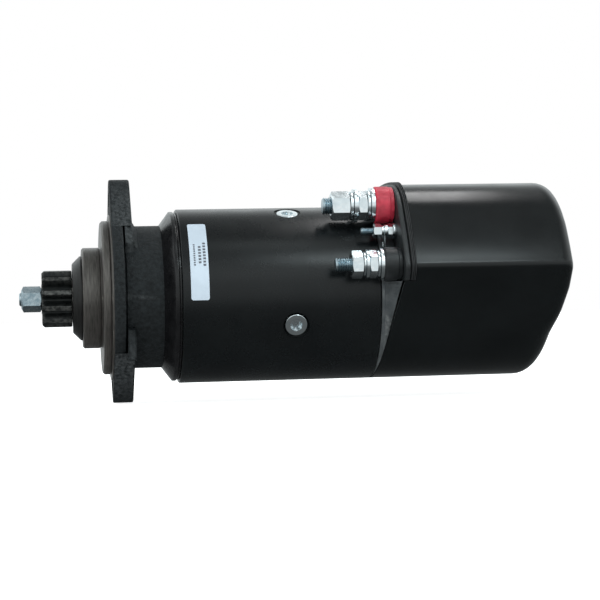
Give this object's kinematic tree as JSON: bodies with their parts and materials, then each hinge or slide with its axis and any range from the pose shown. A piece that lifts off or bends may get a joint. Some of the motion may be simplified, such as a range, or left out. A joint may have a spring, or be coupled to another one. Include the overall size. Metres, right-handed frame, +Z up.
{
  "type": "starter motor",
  "caption": "Heavy-duty sliding-gear starter motor: black drum with a faceted rear cap, a two-ear cast flange, an exposed pinion and side terminal studs.",
  "frame": {"origin": "shaft axis in the plane of the flange's machined mounting face", "axes": "+X along the shaft from the pinion towards the rear cap, +Z up through the upper flange ear, -Y towards the terminals"},
  "size_m": [0.3835, 0.1848, 0.16],
  "materials": {
    "black_paint": "satin",
    "cast_iron": "rough cast",
    "machined_steel": "machined",
    "dark_steel": "blackened",
    "zinc": "zinc plated",
    "grey_casting": "dark cast",
    "copper": "copper, bare and lacquered",
    "bronze": "sintered bronze",
    "carbon": "pressed carbon",
    "black_rubber": "matt",
    "black_plastic": "matt moulded",
    "red_plastic": "matt moulded",
    "paper": "printed film label"
  },
  "bodies": {
    "housing": {"brush_1": "carbon", "brush_2": "carbon", "brush_3": "carbon", "brush_4": "carbon", "brush_holder": "machined_steel", "cap_gasket": "black_rubber", "commutator_end_shield": "grey_casting", "drive_bearing": "bronze", "drive_end_shield": "cast_iron", "field_coil_1": "copper", "field_coil_2": "copper", "field_coil_3": "copper", "field_coil_4": "copper", "intermediate_bearing": "grey_casting", "nose_seal_cover": "dark_steel", "pole_screw_1": "zinc", "pole_screw_2": "zinc", "pole_screw_3": "zinc", "pole_screw_4": "zinc", "pole_shoe_1": "dark_steel", "pole_shoe_2": "dark_steel", "pole_shoe_3": "dark_steel", "pole_shoe_4": "dark_steel", "rating_label": "paper", "rear_bearing": "bronze", "rear_cap": "black_paint", "relay_housing": "dark_steel", "return_spring": "machined_steel", "solenoid_coil": "copper", "solenoid_housing": "dark_steel", "terminal_30_inner_nut": "zinc", "terminal_30_insulator": "red_plastic", "terminal_30_outer_nut": "zinc", "terminal_30_stud": "zinc", "terminal_30_washer": "zinc", "terminal_31_inner_nut": "zinc", "terminal_31_insulator": "black_plastic", "terminal_31_outer_nut": "zinc", "terminal_31_stud": "zinc", "terminal_31_washer": "zinc", "terminal_50_inner_nut": "zinc", "terminal_50_outer_nut": "zinc", "terminal_50_stud": "zinc", "terminal_board": "black_plastic", "tie_bolt_1": "zinc", "tie_bolt_2": "zinc", "yoke": "black_paint"},
    "armature": {"armature_core": "dark_steel", "armature_shaft": "machined_steel", "armature_winding": "copper", "clutch_housing": "machined_steel", "clutch_plate": "dark_steel", "commutator": "copper"},
    "overrunning_hub": {"clutch_hub": "machined_steel"},
    "drive": {"drive_spindle": "machined_steel", "pinion": "dark_steel", "pinion_nut": "zinc"},
    "plunger": {"engaging_rod": "machined_steel", "solenoid_plunger": "machined_steel"},
    "relay_bridge": {"relay_contact_bridge": "copper"}
  },
  "joints": [
    {"name": "armature_spin", "type": "hinge", "parent": "housing", "child": "armature", "pos_m": [0.124, 0, 0], "axis": [1, 0, 0], "continuous": true},
    {"name": "hub_overrun", "type": "hinge", "parent": "armature", "child": "overrunning_hub", "pos_m": [0.031, 0, 0], "axis": [1, 0, 0], "continuous": true},
    {"name": "pinion_engage", "type": "slide", "parent": "overrunning_hub", "child": "drive", "axis": [-1, 0, 0], "range_m": [0, 0.02]},
    {"name": "solenoid_stroke", "type": "slide", "parent": "housing", "child": "plunger", "axis": [-1, 0, 0], "range_m": [0, 0.02], "stiffness_N_per_m": 600, "springref_m": -0.01, "deforming": ["return_spring"]},
    {"name": "relay_close", "type": "slide", "parent": "housing", "child": "relay_bridge", "axis": [-1, 0, 0], "range_m": [0, 0.003], "stiffness_N_per_m": 400, "springref_m": -0.003}
  ],
  "couplings": [
    {"joint": "solenoid_stroke", "follows": "pinion_engage", "ratio": 1}
  ]
}
